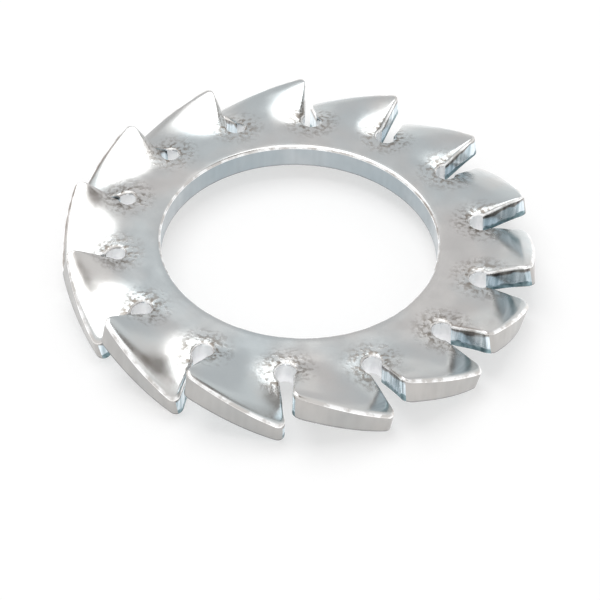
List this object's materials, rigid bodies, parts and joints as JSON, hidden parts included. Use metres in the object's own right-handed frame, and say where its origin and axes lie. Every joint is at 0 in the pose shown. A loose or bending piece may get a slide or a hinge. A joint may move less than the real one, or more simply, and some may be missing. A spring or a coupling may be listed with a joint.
{
  "type": "toothed lock washer",
  "caption": "Flat spring steel lock washer with a round bore and a fan of twisted, sheared teeth round its rim.",
  "frame": {"origin": "centre of the bore, half way through the flat ring's thickness", "axes": "+Z along the bore's axis, towards the side where each tooth's clockwise edge stands proud; +X along the middle of one tooth"},
  "size_m": [0.0146, 0.0148, 0.002],
  "materials": {
    "zinc_steel": "bright zinc plated"
  },
  "bodies": {
    "root": {"lock_washer": "zinc_steel"}
  },
  "joints": []
}
